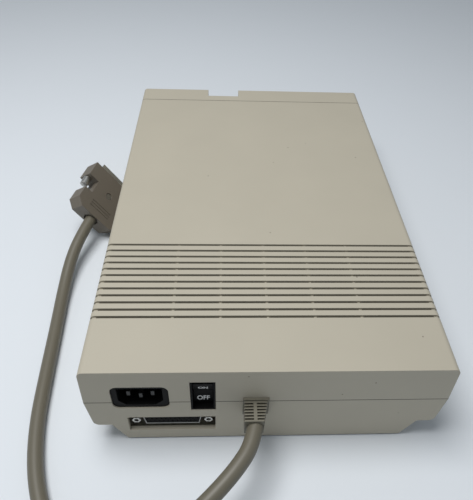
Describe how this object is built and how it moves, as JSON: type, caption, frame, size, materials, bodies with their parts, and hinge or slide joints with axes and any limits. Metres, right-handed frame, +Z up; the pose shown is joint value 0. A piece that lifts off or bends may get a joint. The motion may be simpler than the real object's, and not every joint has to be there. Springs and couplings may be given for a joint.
{
  "type": "external floppy disk drive",
  "caption": "Low desktop case for a half-height floppy drive, with a vented top, mains inlet, rocker switch, pass-through port and a captive signal cord with a plug.",
  "frame": {"origin": "on the table, under the middle of the case", "axes": "+Z up, -Y out of the front where the disk goes in, +Y out of the rear panel, +X towards the side where the cord lies"},
  "size_m": [0.2674, 0.4172, 0.072],
  "materials": {
    "case_plastic": "moulded, fine spark texture, warm beige grey",
    "black_plastic": "moulded black, satin",
    "white_plastic": "moulded natural nylon",
    "lamp_red": "clear red lamp",
    "plated_steel": "zinc or tin plated",
    "cast_metal": "die cast or pressed aluminium",
    "grey_plastic": "glass filled",
    "circuit_board": "green solder mask",
    "core_iron": "varnished laminations",
    "coil_tape": "yellow insulating tape over the winding",
    "capacitor_sleeve": "shrink sleeve",
    "wire_cover": "soft insulation",
    "foot_rubber": "matt",
    "cord_jacket": "satin taupe jacket",
    "relief_rubber": "satin taupe moulding",
    "hood_plastic": "moulded taupe"
  },
  "bodies": {
    "root": {"lower_case": "case_plastic", "upper_case": "case_plastic", "front_bezel": "case_plastic", "drive_faceplate": "case_plastic", "inlet_body": "black_plastic", "switch_body": "black_plastic", "port_insulator": "black_plastic", "plug_insulator": "black_plastic", "ribbon_socket": "black_plastic", "logic_chips": "black_plastic", "voltage_regulators": "black_plastic", "power_sockets": "white_plastic", "disk_guides": "white_plastic", "activity_led": "lamp_red", "port_shell": "plated_steel", "port_jack_nuts": "plated_steel", "port_tails": "plated_steel", "plug_shell": "plated_steel", "plug_pins": "plated_steel", "inlet_blades": "plated_steel", "switch_tabs": "plated_steel", "case_screws": "plated_steel", "pan_screws": "plated_steel", "board_screws": "plated_steel", "hood_screw": "plated_steel", "clamp_arm_pin": "plated_steel", "carriage_rails": "plated_steel", "drive_brackets": "plated_steel", "transformer_strap": "plated_steel", "mains_fuse": "plated_steel", "drive_chassis": "cast_metal", "stepper_motor": "cast_metal", "heat_sink": "cast_metal", "motor_board": "circuit_board", "drive_board": "circuit_board", "supply_board": "circuit_board", "interface_board": "circuit_board", "transformer_core": "core_iron", "transformer_coil": "coil_tape", "smoothing_capacitors": "capacitor_sleeve", "ribbon_cable": "wire_cover", "power_leads": "wire_cover", "mains_leads": "wire_cover", "rubber_feet": "foot_rubber", "signal_cord": "cord_jacket", "strain_relief": "relief_rubber", "hood_lower": "hood_plastic", "hood_upper": "hood_plastic"},
    "rocker": {"switch_rocker": "black_plastic"},
    "latch": {"latch_lever": "case_plastic", "latch_cam": "grey_plastic"},
    "spindle": {"spindle_hub": "cast_metal", "motor_rotor": "cast_metal"},
    "clamp_arm": {"clamp_arm": "cast_metal"},
    "clamp_cone": {"clamp_cone": "grey_plastic"},
    "carriage": {"head_carriage": "grey_plastic"},
    "head_arm": {"upper_head_arm": "grey_plastic"},
    "lead_screw": {"lead_screw": "plated_steel"},
    "left_jackscrew": {"left_jackscrew": "plated_steel"},
    "right_jackscrew": {"right_jackscrew": "plated_steel"}
  },
  "joints": [
    {"name": "rocker_turn", "type": "hinge", "parent": "root", "child": "rocker", "pos_m": [0.03885, 0.1585, 0.04775], "axis": [1, 0, 0], "range_deg": [0, 16]},
    {"name": "latch_turn", "type": "hinge", "parent": "root", "child": "latch", "pos_m": [0.0282, -0.16, 0.0515], "axis": [0, -1, 0], "range_deg": [0, 90]},
    {"name": "clamp_arm_turn", "type": "hinge", "parent": "root", "child": "clamp_arm", "pos_m": [0, -0.02, 0.052], "axis": [1, 0, 0], "range_deg": [0, 3.4]},
    {"name": "clamp_cone_spin", "type": "hinge", "parent": "clamp_arm", "child": "clamp_cone", "pos_m": [0, -0.0933, 0.05], "axis": [0, 0, 1], "continuous": true},
    {"name": "spindle_spin", "type": "hinge", "parent": "root", "child": "spindle", "pos_m": [0, -0.0933, 0.03], "axis": [0, 0, 1], "continuous": true},
    {"name": "carriage_slide", "type": "slide", "parent": "root", "child": "carriage", "axis": [0, -1, 0], "range_m": [0, 0.02064]},
    {"name": "lead_screw_turn", "type": "hinge", "parent": "root", "child": "lead_screw", "pos_m": [0.029, 0, 0.0354], "axis": [0, 1, 0], "range_deg": [0, 1171]},
    {"name": "head_arm_turn", "type": "hinge", "parent": "carriage", "child": "head_arm", "pos_m": [0, -0.00115, 0.046], "axis": [1, 0, 0], "range_deg": [0, 5.5]},
    {"name": "left_jackscrew_turn", "type": "hinge", "parent": "root", "child": "left_jackscrew", "pos_m": [0.14751, -0.04894, 0.04329], "axis": [-0.305, -0.9388, 0.1599], "continuous": true},
    {"name": "right_jackscrew_turn", "type": "hinge", "parent": "root", "child": "right_jackscrew", "pos_m": [0.12121, -0.04645, 0.00773], "axis": [-0.305, -0.9388, 0.1599], "continuous": true}
  ],
  "couplings": [
    {"joint": "clamp_arm_turn", "follows": "latch_turn", "ratio": 0.037778},
    {"joint": "head_arm_turn", "follows": "latch_turn", "ratio": 0.061111},
    {"joint": "lead_screw_turn", "follows": "carriage_slide", "rad_per_m": 989.48}
  ]
}
